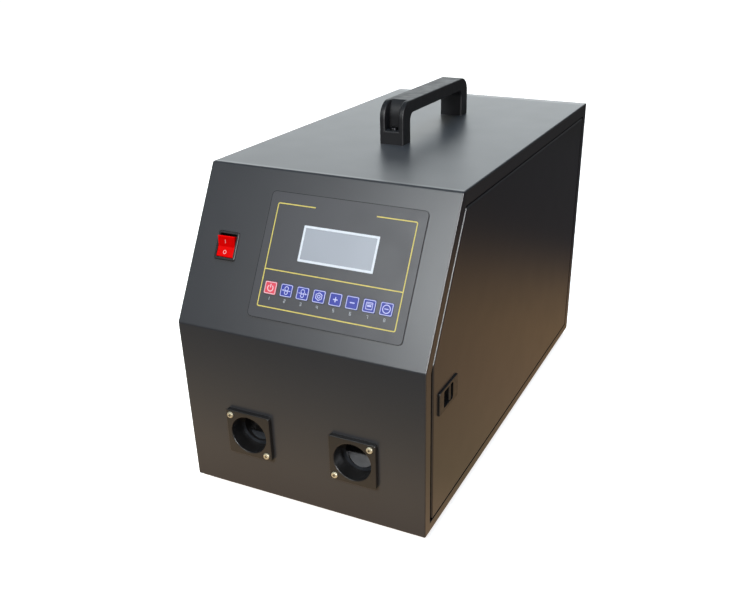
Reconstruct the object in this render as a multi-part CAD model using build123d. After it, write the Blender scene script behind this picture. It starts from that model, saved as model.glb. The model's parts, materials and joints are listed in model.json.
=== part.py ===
from build123d import *
import os
import math

os.makedirs("parts", exist_ok=True)

# ------------------------------------------------------------------
# Driving dimensions, millimetres.
# Cabinet frame while modelling: x 0 on the centre plane (+x is the door
# side), y 0 on the lower front face going back, z 0 under the base sheet.
# ------------------------------------------------------------------
W, D, H = 280.0, 546.0, 338.0      # cabinet width, depth, height without feet
ZB, YS = 190.0, 86.5               # height of the front bend, set-back of the top edge
T = 1.5                            # sheet thickness
HW = W / 2
FOOT_H, FOOT_D = 8.0, 25.0
R_BEND, R_TOP, R_SIDE, R_REAR = 4.0, 3.0, 1.5, 1.8

DOOR_F, DOOR_B, DOOR_T, DOOR_R = 17.8, 12.0, 321.3, 530.0   # door outline
DOOR_SLOPE = 15.2                  # border beside the sloped front
GAP_F, GAP_S, GAP_T, GAP_R, GAP_B = 5.8, 2.5, 1.8, 1.5, 1.0   # door gap: front, slope, top, hinge edge, bottom
DOOR_RET = 8.0                     # depth of the door's turned edges
PIV_X, PIV_Y = 135.5, 526.5        # door hinge axis

X_DIV = 12.0                       # left face of the divider
T_DIV = 2.0
WIRE_X, WIRE_Z = 58.8, 70.6        # wire line in the drive's own frame
PORT_XL, PORT_XR, PORT_Z = -61.7, 61.7, 74.5
DX, DZ = PORT_XR - WIRE_X, PORT_Z - WIRE_Z   # sets the drive's wire line on the right-hand port
FL, FL_T, PORT_R, PORT_SCR = 53.0, 5.0, 21.25, 20.6

OV_X0, OV_X1, OV_S0, OV_S1, OV_T = -60.0, 111.1, 21.0, 149.4, 0.8
WIN_X0, WIN_X1, WIN_S0, WIN_S1 = -13.9, 64.3, 85.2, 116.7
KEY_X = [-39.4, -21.0, -2.6, 15.7, 33.9, 52.1, 70.3, 88.4]
KEY_S, KEY_W, KEY_L = 52.4, 13.5, 12.8
KEY_NAMES = ["key_power", "key_forward", "key_retract", "key_set",
             "key_plus", "key_minus", "key_display", "key_gas"]

SW_X, SW_S, SW_W, SW_L = -100.2, 86.5, 24.8, 30.0
SW_TILT = 13.0

ROLL_R, ROLL_W = 15.0, 10.0
ROLL_Y1, ROLL_Y2 = 100.0, 142.0
ROLL_Z = WIRE_Z - ROLL_R - 0.3
IDLE_Z = WIRE_Z + ROLL_R + 0.4
MOD, N_FEED, N_PIN = 1.25, 28, 16
ARM_Y, ARM_Z = 172.0, 87.0         # pressure arm pivot
LEV_Y, LEV_Z, LEV_TILT = 72.0, 45.0, 30.0

SPOOL_Y, SPOOL_Z = 372.0, 172.0
HAND_Y0, HAND_Y1, HAND_H, HAND_W = 224.0, 420.0, 45.5, 28.4
HAND_R, HAND_RI, HAND_CH, HAND_LEG = 18.0, 8.5, 16.4, 20.5   # outer and inner corner radius, width of the end channel, leg

nodes = {}


def bx(x0, x1, y0, y1, z0, z1):
    return Pos((x0 + x1) / 2, (y0 + y1) / 2, (z0 + z1) / 2) * Box(x1 - x0, y1 - y0, z1 - z0)


def cx(r, x0, x1, y, z):           # cylinder along x
    return Pos((x0 + x1) / 2, y, z) * Rot(0, 90, 0) * Cylinder(r, x1 - x0)


def cy(r, y0, y1, x, z):           # cylinder along y
    return Pos(x, (y0 + y1) / 2, z) * Rot(90, 0, 0) * Cylinder(r, y1 - y0)


def cz(r, z0, z1, x, y):           # cylinder along z
    return Pos(x, y, (z0 + z1) / 2) * Cylinder(r, z1 - z0)


def poly_yz(pts, x0, x1):          # prism along x from (y, z) points
    f = make_face(Polyline(*[(p[0], p[1]) for p in pts], close=True))
    return Pos(x0, 0, 0) * extrude(Plane.YZ * f, x1 - x0)


def rounded_yz(pts, radii):
    f = make_face(Polyline(*[(p[0], p[1]) for p in pts], close=True))
    for p, r in zip(pts, radii):
        if r > 0:
            v = f.vertices().sort_by_distance(Vector(p[0], p[1], 0))[0]
            f = fillet(v, r)
    return f


def offset_poly(pts, dist):
    """Outward offset of a convex polygon; dist[i] is for the edge from point i."""
    n = len(pts)
    cyy = sum(p[0] for p in pts) / n
    czz = sum(p[1] for p in pts) / n
    lines = []
    for i in range(n):
        a, b = pts[i], pts[(i + 1) % n]
        dx, dy = b[0] - a[0], b[1] - a[1]
        ln = math.hypot(dx, dy)
        nx, ny = dy / ln, -dx / ln
        if (a[0] - cyy) * nx + (a[1] - czz) * ny < 0:
            nx, ny = -nx, -ny
        lines.append((nx, ny, nx * a[0] + ny * a[1] + dist[i]))
    out = []
    for i in range(n):
        a1, b1, c1 = lines[i - 1]
        a2, b2, c2 = lines[i]
        det = a1 * b2 - a2 * b1
        out.append(((c1 * b2 - c2 * b1) / det, (a1 * c2 - a2 * c1) / det))
    return out


# the sloped operating panel: local x across, y up the slope, z outwards
SLOPE_L = math.hypot(YS, H - ZB)
SL = Plane(origin=(0, 0, ZB), x_dir=(1, 0, 0), z_dir=(0, -(H - ZB) / SLOPE_L, YS / SLOPE_L))


def slope(p):
    return SL.location * p


# ------------------------------------------------------------------
# Sheet-metal cabinet: one closed bent shell, cut into its real sheets
# ------------------------------------------------------------------
profile = [(0, 0), (0, ZB), (YS, H), (D, H), (D, 0)]
f_out = rounded_yz(profile, [2.5, R_BEND, R_TOP, R_REAR, R_REAR])
outer = Pos(-HW, 0, 0) * extrude(Plane.YZ * f_out, W)
outer = fillet(outer.faces().filter_by(Axis.X).edges(), R_SIDE)
p_in = offset_poly(profile, [-T] * 5)
f_in = rounded_yz(p_in, [1.0, R_BEND - T, R_TOP - T, 0.5, 0.5])
inner = Pos(-HW + T, 0, 0) * extrude(Plane.YZ * f_in, W - 2 * T)
inner = fillet(inner.faces().filter_by(Axis.X).edges(), 0.4)
shell = outer - inner

# door outline and the opening round it
ny, nz = -(H - ZB) / SLOPE_L, YS / SLOPE_L
uy, uz = YS / SLOPE_L, (H - ZB) / SLOPE_L
q = (-ny * DOOR_SLOPE, ZB - nz * DOOR_SLOPE)
t1 = (DOOR_F - q[0]) / uy
t2 = (DOOR_T - q[1]) / uz
door_pts = [(DOOR_F, DOOR_B), (DOOR_F, q[1] + t1 * uz), (q[0] + t2 * uy, DOOR_T),
            (DOOR_R, DOOR_T), (DOOR_R, DOOR_B)]
open_pts = offset_poly(door_pts, [GAP_F, GAP_S, GAP_T, GAP_R, GAP_B])
opening = poly_yz(open_pts, HW - T - 4, HW + 2)
shell = shell - opening

Y_REAR = DOOR_R + GAP_R            # rear panel starts here
X_LEFT = -HW + 3.0
Z_BASE = DOOR_B - GAP_B
Y_TOP = YS + 5.5
BIG = 1000

rear_region = bx(-BIG, BIG, Y_REAR, BIG, -BIG, BIG)
left_region = bx(-BIG, X_LEFT, -BIG, Y_REAR, -BIG, BIG)
base_region = bx(X_LEFT, BIG, -BIG, Y_REAR, -BIG, Z_BASE)
front_region = bx(X_LEFT, HW - R_SIDE, -BIG, Y_TOP, Z_BASE, BIG)
side_region = bx(HW - R_SIDE, BIG, -BIG, Y_TOP, Z_BASE, BIG)
top_region = bx(X_LEFT, BIG, Y_TOP, Y_REAR, Z_BASE, BIG)

rear_panel = shell & rear_region
left_panel = shell & left_region
base_tray = shell & base_region
front_shell = shell & front_region
side_frame_front = shell & side_region
top_cover = shell & top_region

# cut-outs of the front shell
for px in (PORT_XL, PORT_XR):
    front_shell -= cy(PORT_R + 1.8, -2, 4, px, PORT_Z)
front_shell -= slope(bx(WIN_X0 - 0.4, WIN_X1 + 0.4, WIN_S0 - 0.4, WIN_S1 + 0.4, -4, 3))
for kx in KEY_X:
    front_shell -= slope(bx(kx - KEY_W / 2 - 0.3, kx + KEY_W / 2 + 0.3,
                            KEY_S - KEY_L / 2 - 0.3, KEY_S + KEY_L / 2 + 0.3, -4, 3))
front_shell -= slope(bx(SW_X - 11.6, SW_X + 11.6, SW_S - 13.7, SW_S + 13.7, -4, 3))

# screw places
port_scr = [(PORT_XL - PORT_SCR, PORT_Z + PORT_SCR), (PORT_XL + PORT_SCR, PORT_Z - PORT_SCR),
            (PORT_XR + PORT_SCR, PORT_Z + PORT_SCR), (PORT_XR - PORT_SCR, PORT_Z - PORT_SCR)]
for sx, sz in port_scr:
    front_shell -= cy(1.75, -2, 4, sx, sz)
foot_xy = [(-108, 40), (108, 40), (-108, 506), (108, 506)]
for fx, fy in foot_xy:
    base_tray -= cz(2.25, -1, 3, fx, fy)
hand_scr_y = [HAND_Y0 + 6.5, HAND_Y1 - 6.5]
for hy in hand_scr_y:
    top_cover -= cz(2.75, H - 4, H + 2, 0, hy)

left_scr = [(14, 30), (14, 170), (92, 310), (250, 326), (400, 326), (518, 326),
            (518, 30), (270, 14)]
for sy, sz in left_scr:
    left_panel -= cx(2.1, -HW - 2, -HW + 3, sy, sz)
rear_scr = [(-128, 14), (128, 14), (-128, 324), (128, 324), (0, 324), (0, 14)]
for sx, sz in rear_scr:
    rear_panel -= cy(2.1, D - 4, D + 2, sx, sz)

# rear openings: fan grille slots, mains inlet, control socket
FAN_X, FAN_Z, FAN_S = -72.0, 262.0, 80.0
for i in range(9):
    dz = (i - 4) * 8.0
    half = math.sqrt(37.0 ** 2 - dz ** 2) - 2
    s = bx(FAN_X - half, FAN_X + half, D - 4, D + 2, FAN_Z + dz - 2, FAN_Z + dz + 2)
    rear_panel -= fillet(s.edges().filter_by(Axis.Y), 1.9)
for i in range(8):
    zz = 90 + i * 9.0
    s = bx(40, 110, D - 4, D + 2, zz - 2, zz + 2)
    rear_panel -= fillet(s.edges().filter_by(Axis.Y), 1.9)
for dx, dz in [(-35.75, -35.75), (35.75, -35.75), (-35.75, 35.75), (35.75, 35.75)]:
    rear_panel -= cy(2.1, D - 4, D + 2, FAN_X + dx, FAN_Z + dz)
    rear_scr.append((FAN_X + dx, FAN_Z + dz))
IN_X, IN_Z = -60.0, 60.0
rear_panel -= bx(IN_X - 14, IN_X + 14, D - 4, D + 2, IN_Z - 10.2, IN_Z + 10.2)
for dx in (-20, 20):
    rear_panel -= cy(1.75, D - 4, D + 2, IN_X + dx, IN_Z)
CS_X, CS_Z = -108.0, 60.0
rear_panel -= cy(8.05, D - 4, D + 2, CS_X, CS_Z)

nodes["base_tray"] = base_tray
nodes["front_shell"] = front_shell
nodes["side_frame_front"] = side_frame_front
nodes["top_cover"] = top_cover
nodes["left_panel"] = left_panel
nodes["rear_panel"] = rear_panel

# divider between the electronics side and the wire side
div_pts = offset_poly(profile, [-6.0, -24.0, -2.0, -3.5, -T])
divider = poly_yz(div_pts, X_DIV, X_DIV + T_DIV)
divider += bx(X_DIV - 12, X_DIV + T_DIV, 30, 520, T, T + 2.0)
PIN_Y = (ROLL_Y1 + ROLL_Y2) / 2
CD = MOD * (N_FEED + N_PIN) / 2
PIN_Z = ROLL_Z - math.sqrt(CD ** 2 - ((ROLL_Y2 - ROLL_Y1) / 2) ** 2)
divider -= cx(15.5, 0, 20, PIN_Y, PIN_Z + 1 + DZ)
nodes["divider_plate"] = divider


# ------------------------------------------------------------------
# Screws
# ------------------------------------------------------------------
def pan_screw(head_r, head_h, shank_r, shank_l):
    """Cross-recess screw on +z, head underside at z 0."""
    hd = Pos(0, 0, head_h / 2) * Cylinder(head_r, head_h)
    hd = fillet(hd.edges().sort_by(Axis.Z)[-1], head_h * 0.55)
    s = hd + Pos(0, 0, -shank_l / 2) * Cylinder(shank_r, shank_l)
    k = head_r * 0.95
    w = head_r * 0.22
    s -= Pos(0, 0, head_h) * Box(k, w, head_h)
    s -= Pos(0, 0, head_h) * Box(w, k, head_h)
    return s


def to_front(p, x, y, z):          # screw head towards -y
    return Pos(x, y, z) * Rot(90, 0, 0) * p


def to_back(p, x, y, z):
    return Pos(x, y, z) * Rot(-90, 0, 0) * p


def to_left(p, x, y, z):
    return Pos(x, y, z) * Rot(0, -90, 0) * p


scr4 = pan_screw(3.9, 2.2, 2.0, 7)
nodes["panel_screws"] = Compound(children=[to_left(scr4, -HW, y, z) for y, z in left_scr]
                                 + [to_back(scr4, x, D, z) for x, z in rear_scr])
scr3 = pan_screw(3.5, 2.0, 1.6, 9)
nodes["port_screws"] = Compound(children=[to_front(scr3, x, -FL_T, z) for x, z in port_scr])
foot = cz(FOOT_D / 2, -FOOT_H, 0, 0, 0)
foot = fillet(foot.edges().sort_by(Axis.Z)[0], 1.5)
foot -= cz(5.2, -FOOT_H - 1, -3.5, 0, 0)
foot -= cz(2.3, -FOOT_H - 1, 1, 0, 0)
nodes["foot_pads"] = Compound(children=[Pos(x, y, 0) * foot for x, y in foot_xy])
fscr = Rot(180, 0, 0) * pan_screw(4.3, 2.6, 2.1, 9)
nodes["foot_screws"] = Compound(children=[Pos(x, y, -3.5) * fscr for x, y in foot_xy])

# ------------------------------------------------------------------
# Carry handle with its two screws
# ------------------------------------------------------------------
hz = H
hp = rounded_yz([(HAND_Y0, hz), (HAND_Y0, hz + HAND_H), (HAND_Y1, hz + HAND_H), (HAND_Y1, hz)],
                [0, HAND_R, HAND_R, 0])
hi = rounded_yz([(HAND_Y0 + HAND_LEG, hz - 1), (HAND_Y0 + HAND_LEG, hz + 31.5), (HAND_Y1 - HAND_LEG, hz + 31.5), (HAND_Y1 - HAND_LEG, hz - 1)],
                [0, HAND_RI, HAND_RI, 0])
handle = Pos(-HAND_W / 2, 0, 0) * extrude(Plane.YZ * (hp - hi), HAND_W)
long_edges = [e for e in handle.faces().filter_by(Axis.X).edges()
              if e.bounding_box().max.Z > hz + 0.5]
handle = fillet(long_edges, 1.4)
# open channel in each end: a deep screw pocket that runs out over the corner
ch_line = Polyline((HAND_Y0 + 24.0, hz + HAND_H + 2), (HAND_Y0 - 4, hz + HAND_H + 2), (HAND_Y0 - 4, hz + 15),
                   (HAND_Y0 + 12.6, hz + 15), (HAND_Y0 + 12.6, hz + 26))
ch_arc = ThreePointArc((HAND_Y0 + 12.6, hz + 26), (HAND_Y0 + 15.2, hz + 37.8), (HAND_Y0 + 24.0, hz + HAND_H + 2))
channel = Pos(-HAND_CH / 2, 0, 0) * extrude(Plane.YZ * make_face(ch_line + ch_arc), HAND_CH)
HAND_YM = (HAND_Y0 + HAND_Y1) / 2
handle -= channel
handle -= mirror(channel, about=Plane.XZ.offset(-HAND_YM)) & bx(-20, 20, HAND_YM, HAND_Y1 + 10, hz + 10, hz + 36)   # the rear pocket stops below the corner
rim = []                           # the channel's mouth, on the handle's outer surface
for e in handle.edges():
    c = e.center()
    yy = min(c.Y - HAND_Y0, HAND_Y1 - c.Y)
    if abs(c.X) > HAND_CH / 2 + 0.05 or c.Z < hz + 14.9 or yy > 25:
        continue
    if c.Y > HAND_YM:
        continue
    if abs(yy) < 0.05 or abs(c.Z - hz - HAND_H) < 0.05:
        rim.append(e)
    elif e.geom_type == GeomType.CIRCLE and abs(e.radius - HAND_R) < 0.1:
        rim.append(e)
handle = fillet(rim, 2.2)
for hy in hand_scr_y:
    handle -= cz(2.75, hz - 1, hz + 20, 0, hy)
nodes["carry_handle"] = handle
hscr = pan_screw(4.6, 3.4, 2.4, 24)
nodes["handle_screws"] = Compound(children=[Pos(0, y, hz + 15) * hscr for y in hand_scr_y])


# ------------------------------------------------------------------
# Two square-flanged port sockets in the lower front
# ------------------------------------------------------------------
def port(px, bore):
    fl = bx(px - FL / 2, px + FL / 2, -FL_T, 0, PORT_Z - FL / 2, PORT_Z + FL / 2)
    fl = fillet(fl.edges().filter_by(Axis.Y), 2.6)
    fl = fillet(fl.faces().sort_by(Axis.Y)[0].edges(), 0.9)
    cup = cy(PORT_R + 1.5, 0, 27, px, PORT_Z)
    cup = fillet(cup.edges().sort_by(Axis.Y)[-1], 3.0)
    fl += cup
    # straight socket wall, a step, then the floor with its bore
    fl -= cy(PORT_R, -FL_T - 1, 14, px, PORT_Z)
    fl -= cy(PORT_R - 4.0, 10, 24.5, px, PORT_Z)
    fl -= cy(bore, 20, 30, px, PORT_Z)
    rim = [e for e in fl.edges().filter_by(GeomType.CIRCLE)
           if abs(e.radius - PORT_R) < 0.01 and abs(e.center().Y + FL_T) < 0.05]
    fl = fillet(rim, 1.0)
    for sx, sz in port_scr:
        if abs(sx - px) < FL / 2:
            fl -= cy(1.75, -FL_T - 1, 1, sx, sz)
    return fl


nodes["port_socket_left"] = port(PORT_XL, 5.0)
nodes["port_socket_right"] = port(PORT_XR, 6.0)

# ------------------------------------------------------------------
# Operating panel on the slope
# ------------------------------------------------------------------
ov = bx(OV_X0, OV_X1, OV_S0, OV_S1, 0, OV_T)
ov = fillet(ov.edges().filter_by(Axis.Z), 5.0)
ov -= bx(WIN_X0, WIN_X1, WIN_S0, WIN_S1, -1, 3)
for kx in KEY_X:
    h = bx(kx - KEY_W / 2 - 0.3, kx + KEY_W / 2 + 0.3, KEY_S - KEY_L / 2 - 0.3, KEY_S + KEY_L / 2 + 0.3, -1, 3)
    ov -= fillet(h.edges().filter_by(Axis.Z), 1.8)
nodes["panel_overlay"] = slope(ov)
win = bx(WIN_X0 + 0.1, WIN_X1 - 0.1, WIN_S0 + 0.1, WIN_S1 - 0.1, -0.7, OV_T)
nodes["lcd_window"] = slope(win)

for name, kx in zip(KEY_NAMES, KEY_X):
    k = bx(kx - KEY_W / 2, kx + KEY_W / 2, KEY_S - KEY_L / 2, KEY_S + KEY_L / 2, -1.2, OV_T + 0.35)
    k = fillet(k.edges().filter_by(Axis.Z), 1.5)
    k = fillet(k.faces().sort_by(Axis.Z)[-1].edges(), 0.35)
    nodes[name] = slope(k)

board = bx(-58, 104, 30, 140, -10.0, -8.4)
board += bx(-20, 71, 79, 123, -8.4, -2.2)
for kx in KEY_X:
    board += bx(kx - 3, kx + 3, KEY_S - 3, KEY_S + 3, -8.4, -3.4)
    board += Pos(kx, KEY_S, -2.7) * Cylinder(1.7, 1.5)
board += bx(-50, -30, 92, 120, -8.4, -5.4)
board += bx(80, 98, 90, 116, -8.4, -4.4)
for bxp in ((-54, 34), (100, 34), (-54, 136), (100, 136)):
    board += Pos(bxp[0], bxp[1], -4.95) * Cylinder(2.6, 6.9)
nodes["display_board"] = slope(board)

# rocker switch
bz = bx(SW_X - SW_W / 2, SW_X + SW_W / 2, SW_S - SW_L / 2, SW_S + SW_L / 2, 0, 1.6)
bz = fillet(bz.edges().filter_by(Axis.Z), 2.2)
bz = fillet(bz.faces().sort_by(Axis.Z)[-1].edges(), 0.7)
bz += bx(SW_X - 11.4, SW_X + 11.4, SW_S - 13.5, SW_S + 13.5, -24, 0)
bz -= bx(SW_X - 10.2, SW_X + 10.2, SW_S - 12.4, SW_S + 12.4, -15, 5)
PIV_N = -4.0
bz -= Pos(SW_X, SW_S, PIV_N) * Rot(0, 90, 0) * Cylinder(1.55, 22.0)
for ts in (-8, 0, 8):
    bz += bx(SW_X - 3, SW_X + 3, SW_S + ts - 0.4, SW_S + ts + 0.4, -33, -24)
nodes["switch_bezel"] = slope(bz)
rk = [(-10.7, 7.4), (0, 4.8), (10.7, 7.4), (10.7, 0.5), (5.5, -4.5), (-5.5, -4.5), (-10.7, 0.5)]
rkf = make_face(Polyline(*rk, close=True))
rocker = Pos(-9.9, 0, 0) * extrude(Plane.YZ * rkf, 19.8)
rocker = fillet(rocker.edges().filter_by(Axis.X).sort_by(Axis.Z)[-2:], 0.8)
rocker += Rot(0, 90, 0) * Cylinder(1.5, 21.6)      # trunnions in the bezel's side walls
nodes["switch_rocker"] = slope(Pos(SW_X, SW_S, PIV_N) * Rot(SW_TILT, 0, 0) * rocker)

# ------------------------------------------------------------------
# Door: flush sheet with turned edges, hinges, latch
# ------------------------------------------------------------------
dpan = poly_yz(door_pts, HW - T - DOOR_RET, HW)
corner = [e for e in dpan.edges().filter_by(Axis.X)]
dpan = fillet(corner, 2.8)
dpan = fillet(dpan.faces().sort_by(Axis.X)[-1].edges(), 2.1)
din = offset_poly(door_pts, [-T] * 5)
dpan -= poly_yz(din, HW - T - DOOR_RET - 1, HW - T)
LT_Y0, LT_Y1, LT_Z0, LT_Z1 = 30.2, 78.0, 128.1, 154.0
LW_Y0, LW_Y1, LW_Z0, LW_Z1 = 40.8, 65.0, 132.3, 151.1
TG_Z0, TG_Z1 = 135.45, 147.95      # latch tongue
dpan -= bx(HW - T - 1, HW + 1, LW_Y0 - 6, LW_Y1 + 4, LW_Z0 - 2.2, LW_Z1 + 2.2)
dpan -= bx(HW - T - DOOR_RET - 1, HW - T - 2.0, 10, DOOR_F + 4, TG_Z0 - 0.6, TG_Z1 + 0.6)
hinge_z = (70.0, 262.0)
for z0 in hinge_z:                 # room for the fixed half of each hinge
    dpan -= bx(HW - T - DOOR_RET - 1, HW - T, DOOR_R - 6, DOOR_R + 1, z0 - 2, z0 + 22)
nodes["door_panel"] = dpan

HR = 2.6
d_leaf, f_leaf = [], []
for z0 in hinge_z:
    fk_ = cz(HR, z0, z0 + 18, PIV_X, PIV_Y)
    fk_ += bx(PIV_X - 14, PIV_X, PIV_Y - HR, PIV_Y - HR + 1.6, z0, z0 + 18)
    fk_ += bx(PIV_X - 14, PIV_X - 12.4, PIV_Y - HR, D - T, z0, z0 + 18)
    fk_ += cz(1.5, z0 + 18, z0 + 35, PIV_X, PIV_Y)
    f_leaf.append(fk_)
    dk = cz(HR, z0 + 18.4, z0 + 36.4, PIV_X, PIV_Y)
    dk += bx(PIV_X, HW - T, PIV_Y - 24, PIV_Y - 1.0, z0 + 18.4, z0 + 36.4) - bx(PIV_X - 1, PIV_X + 1.4, PIV_Y - 26, PIV_Y - 3, z0 + 10, z0 + 40)
    dk -= cz(1.56, z0 + 17, z0 + 35.6, PIV_X, PIV_Y)
    dk -= bx(PIV_X - 5, PIV_X + 5, DOOR_R - T, DOOR_R + 2, z0 + 17, z0 + 38)
    d_leaf.append(dk)
nodes["hinge_halves_fixed"] = Compound(children=f_leaf)
nodes["hinge_halves_door"] = Compound(children=d_leaf)

lb = bx(HW, HW + 1.8, LT_Y0, LT_Y1, LT_Z0, LT_Z1)
lb = fillet(lb.edges().filter_by(Axis.X), 1.6)
lb = fillet(lb.faces().sort_by(Axis.X)[-1].edges(), 0.8)
lb += bx(HW - 11, HW, LW_Y0 - 4, LW_Y1 + 3, LW_Z0 - 1.8, LW_Z1 + 1.8)
lw = bx(HW - 9.5, HW + 3, LW_Y0, LW_Y1, LW_Z0, LW_Z1)
lb -= fillet(lw.edges().filter_by(Axis.X), 2.4)
lb -= bx(HW - 9.0, HW - 4.6, LW_Y0 - 6, LW_Y1, TG_Z0 - 0.6, TG_Z1 + 0.6)
nodes["latch_bezel"] = lb
sl = bx(HW - 8.6, HW + 1.4, 56.2, 60.2, LW_Z0 + 0.8, LW_Z1 - 0.8)
sl = fillet(sl.edges().filter_by(Axis.Z).sort_by(Axis.X)[-2:], 1.5)
sl += bx(HW - 8.6, HW - 5.0, DOOR_F - 0.8, 58.0, TG_Z0, TG_Z1)
nodes["latch_slider"] = sl

# ------------------------------------------------------------------
# Wire drive
# ------------------------------------------------------------------
PX0, PX1 = 32.0, 42.0
plate = bx(PX0, PX1, 30, 192, 16, 96)
plate = fillet(plate.edges().filter_by(Axis.X), 6)
for ly, lz in ((40, 26), (182, 26), (40, 86), (150, 86)):
    plate += cx(7, X_DIV + T_DIV - DX, PX0, ly, lz)
plate -= cx(7.5, PX0 - 1, PX1 + 1, PIN_Y, PIN_Z)
for ry in (ROLL_Y1, ROLL_Y2):
    plate -= cx(5.0, PX0 - 1, PX1 + 1, ry, ROLL_Z)
plate -= cx(5.0, PX0 - 1, PX1 + 1, ARM_Y, ARM_Z)
nodes["drive_plate"] = plate
drive_pins = [cx(5.0, PX0, 64.6, ry, ROLL_Z) for ry in (ROLL_Y1, ROLL_Y2)]
drive_pins.append(cx(5.0, PX0, 53.0, ARM_Y, ARM_Z) + cx(7.5, 52.6, 55.0, ARM_Y, ARM_Z))


def gear_face(n, m, phase_deg, backlash=0.3, pa=20.0, npt=4):
    """Involute gear outline; phase is the angle of one tooth's centre."""
    rp = m * n / 2
    rb = rp * math.cos(math.radians(pa))
    ro, rr = rp + 0.95 * m, rp - 1.25 * m
    inv = lambda a: math.tan(a) - a
    half0 = (math.pi * m / 2 - backlash) / (2 * rp) + inv(math.radians(pa))

    def half(r):
        a = math.acos(min(1.0, rb / r)) if r > rb else 0.0
        return half0 - inv(a)
    rs = [max(rb, rr) + (ro - max(rb, rr)) * k / npt for k in range(npt + 1)]
    if rr < rb:
        rs = [rr] + rs
    pts = []
    for i in range(n):
        c = math.radians(phase_deg + 360.0 * i / n)
        for r in rs:
            pts.append((r * math.cos(c - half(r)), r * math.sin(c - half(r))))
        for r in reversed(rs):
            pts.append((r * math.cos(c + half(r)), r * math.sin(c + half(r))))
    return make_face(Polyline(*pts, close=True))


def gear_x(n, m, phase, x0, x1, y, z):
    g = extrude(Plane.YZ * gear_face(n, m, phase), x1 - x0)
    return Pos(x0, y, z) * g


GX0, GX1 = 44.0, 51.0
p_ang = [math.degrees(math.atan2(ROLL_Z - PIN_Z, ry - PIN_Y)) for ry in (ROLL_Y1, ROLL_Y2)]
pin_phase = p_ang[0] + 180.0 / N_PIN          # a gap of the pinion faces the front gear
gear_phase = []
for k in range(2):
    th = p_ang[k]
    d = (pin_phase - th) % (360.0 / N_PIN)    # tooth centre of the pinion past the line of centres
    gear_phase.append(th + 180 - d * N_PIN / N_FEED + 180.0 / N_FEED)
pinion = gear_x(N_PIN, MOD, pin_phase, GX0, GX1, PIN_Y, PIN_Z)
pinion += cx(4.0, 3.0, GX1 + 2, PIN_Y, PIN_Z)
nodes["motor_pinion"] = pinion


def feed_roll(ry, phase):
    g = gear_x(N_FEED, MOD, phase, GX0, GX1, ry, ROLL_Z)
    g += cx(9.0, GX1, 53.8, ry, ROLL_Z)
    prof = [(53.8, 0), (53.8, ROLL_R - 0.5), (54.3, ROLL_R), (57.9, ROLL_R), (58.8, ROLL_R - 1.0), (59.7, ROLL_R),
            (63.3, ROLL_R), (63.8, ROLL_R - 0.5), (63.8, 0)]
    rf = make_face(Polyline(*[(a, b, 0) for a, b in prof], close=True))
    g += Pos(0, ry, ROLL_Z) * revolve(rf, Axis.X)
    g -= cx(5.05, GX0 - 1, 70, ry, ROLL_Z)
    return g


nodes["feed_roll_front"] = feed_roll(ROLL_Y1, gear_phase[0])
nodes["feed_roll_rear"] = feed_roll(ROLL_Y2, gear_phase[1])


def roll_cap(ry):
    c = cx(11.0, 63.8, 72.0, ry, ROLL_Z)
    for k in range(12):
        a = math.radians(30 * k)
        c -= cx(1.4, 63, 73, ry + 11.6 * math.cos(a), ROLL_Z + 11.6 * math.sin(a))
    c -= cx(5.2, 63, 65.2, ry, ROLL_Z)
    return c


nodes["roll_cap_front"] = roll_cap(ROLL_Y1)
nodes["roll_cap_rear"] = roll_cap(ROLL_Y2)

# pressure arm with its idler pins
arm = bx(GX0 + 0.3, 52.0, 78, ARM_Y, 78, 96)
arm += cx(9.0, GX0 + 0.3, 52.0, ARM_Y, ARM_Z)
arm += bx(GX0 + 0.3, 52.0, 66, 80, 84, 96)
arm -= bx(GX0 - 1, 53, 60, 76.5, 80, 100) & bx(GX0 + 1.2, 52.0 - 0.9, 60, 76.5, 80, 100)
for ry in (ROLL_Y1, ROLL_Y2):
    arm += cx(4.0, 52.0, 65.5, ry, IDLE_Z)
    arm += cx(6.0, 52.0, 53.3, ry, IDLE_Z)
arm -= cx(5.05, GX0 - 1, 53, ARM_Y, ARM_Z)
nodes["pressure_arm"] = arm


def idler(ry):
    c = cx(ROLL_R, 53.8, 63.8, ry, IDLE_Z)
    c = chamfer(c.edges().filter_by(GeomType.CIRCLE), 0.6)
    c -= cx(4.05, 53, 65, ry, IDLE_Z)
    c -= cx(11.5, 63.0, 65, ry, IDLE_Z) - cx(6.2, 62, 66, ry, IDLE_Z)
    return c


nodes["idler_roll_front"] = idler(ROLL_Y1)
nodes["idler_roll_rear"] = idler(ROLL_Y2)


# tension lever, drawn upright then tilted forward (released)
def lever(p):
    return Pos(0, LEV_Y, LEV_Z) * Rot(LEV_TILT, 0, 0) * p


LX = 48.2
rod = cx(5.5, LX - 3.0, LX + 3.0, 0, 0) + cz(2.5, 0, 84, LX, 0)
rod -= cx(3.05, LX - 4, LX + 4, 0, 0)
nodes["tension_rod"] = lever(rod)
coil_out = cz(5.2, 53, 63.6, LX, 0) - cz(3.0, 52, 64, LX, 0)
for k in range(4):
    coil_out -= cz(6, 55.0 + k * 2.4, 56.0 + k * 2.4, LX, 0) - cz(4.2, 54, 70, LX, 0)
nodes["tension_spring"] = lever(coil_out)
knob = cz(8.5, 64, 86, LX, 0)
knob = fillet(knob.edges().sort_by(Axis.Z)[-1], 3.0)
for k in range(10):
    a = math.radians(36 * k)
    knob -= cz(1.2, 66, 90, LX + 9.0 * math.cos(a), 9.0 * math.sin(a))
knob -= cz(2.55, 60, 84.4, LX, 0)
nodes["tension_knob"] = lever(knob)
drive_pins.append(cx(3.0, PX1, LX + 5.0, LEV_Y, LEV_Z) + cx(4.6, LX + 3.4, LX + 5.4, LEV_Y, LEV_Z))
nodes["drive_pins"] = Compound(children=drive_pins)

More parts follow.
